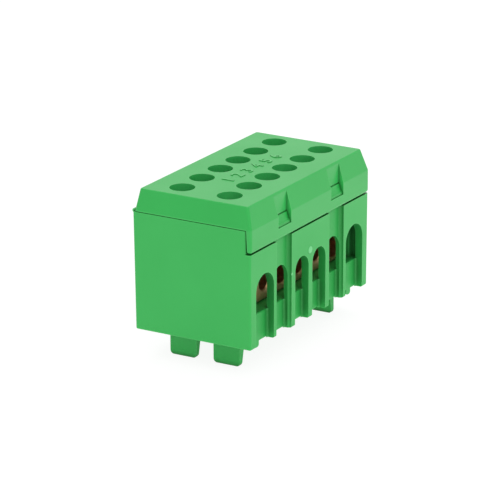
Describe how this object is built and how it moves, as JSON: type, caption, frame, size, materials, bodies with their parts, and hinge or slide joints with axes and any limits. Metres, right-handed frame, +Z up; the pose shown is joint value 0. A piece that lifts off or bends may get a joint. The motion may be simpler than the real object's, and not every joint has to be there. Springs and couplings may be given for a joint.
{
  "type": "earth terminal bar",
  "caption": "Enclosed earth terminal block: a cross-bored brass bar with clamp screws, in a green moulded housing with arched cable entries, a film-hinged cover and clip feet.",
  "frame": {"origin": "under the middle of the block, level with the undersides of the feet", "axes": "+X along the row of cable entries, +Y across the block from the front entries to the back ones, +Z up out of the cover"},
  "size_m": [0.0816, 0.0473, 0.0603],
  "materials": {
    "green_moulding": "moulded polyamide, satin, fine spark texture",
    "brass": "sawn and bored brass, dull",
    "plated_steel": "zinc plated, turned"
  },
  "bodies": {
    "root": {"housing": "green_moulding", "terminal_bar": "brass", "hinge_film": "green_moulding"},
    "cover": {"cover": "green_moulding"},
    "clamp_screw_front_1": {"clamp_screw_front_1": "plated_steel"},
    "clamp_screw_back_1": {"clamp_screw_back_1": "plated_steel"},
    "clamp_screw_front_2": {"clamp_screw_front_2": "plated_steel"},
    "clamp_screw_back_2": {"clamp_screw_back_2": "plated_steel"},
    "clamp_screw_front_3": {"clamp_screw_front_3": "plated_steel"},
    "clamp_screw_back_3": {"clamp_screw_back_3": "plated_steel"},
    "clamp_screw_front_4": {"clamp_screw_front_4": "plated_steel"},
    "clamp_screw_back_4": {"clamp_screw_back_4": "plated_steel"},
    "clamp_screw_front_5": {"clamp_screw_front_5": "plated_steel"},
    "clamp_screw_back_5": {"clamp_screw_back_5": "plated_steel"},
    "clamp_screw_front_6": {"clamp_screw_front_6": "plated_steel"},
    "clamp_screw_back_6": {"clamp_screw_back_6": "plated_steel"}
  },
  "joints": [
    {"name": "cover_hinge", "type": "hinge", "parent": "root", "child": "cover", "pos_m": [0, 0.02305, 0.0525], "axis": [-1, 0, 0], "range_deg": [0, 180], "deforming": ["hinge_film"]},
    {"name": "clamp_front_1", "type": "slide", "parent": "root", "child": "clamp_screw_front_1", "axis": [0, 0, -1], "range_m": [0, 0.0091]},
    {"name": "clamp_back_1", "type": "slide", "parent": "root", "child": "clamp_screw_back_1", "axis": [0, 0, -1], "range_m": [0, 0.0091]},
    {"name": "clamp_front_2", "type": "slide", "parent": "root", "child": "clamp_screw_front_2", "axis": [0, 0, -1], "range_m": [0, 0.0047]},
    {"name": "clamp_back_2", "type": "slide", "parent": "root", "child": "clamp_screw_back_2", "axis": [0, 0, -1], "range_m": [0, 0.0047]},
    {"name": "clamp_front_3", "type": "slide", "parent": "root", "child": "clamp_screw_front_3", "axis": [0, 0, -1], "range_m": [0, 0.0069]},
    {"name": "clamp_back_3", "type": "slide", "parent": "root", "child": "clamp_screw_back_3", "axis": [0, 0, -1], "range_m": [0, 0.0069]},
    {"name": "clamp_front_4", "type": "slide", "parent": "root", "child": "clamp_screw_front_4", "axis": [0, 0, -1], "range_m": [0, 0.0069]},
    {"name": "clamp_back_4", "type": "slide", "parent": "root", "child": "clamp_screw_back_4", "axis": [0, 0, -1], "range_m": [0, 0.0069]},
    {"name": "clamp_front_5", "type": "slide", "parent": "root", "child": "clamp_screw_front_5", "axis": [0, 0, -1], "range_m": [0, 0.0047]},
    {"name": "clamp_back_5", "type": "slide", "parent": "root", "child": "clamp_screw_back_5", "axis": [0, 0, -1], "range_m": [0, 0.0047]},
    {"name": "clamp_front_6", "type": "slide", "parent": "root", "child": "clamp_screw_front_6", "axis": [0, 0, -1], "range_m": [0, 0.0091]},
    {"name": "clamp_back_6", "type": "slide", "parent": "root", "child": "clamp_screw_back_6", "axis": [0, 0, -1], "range_m": [0, 0.0091]}
  ]
}
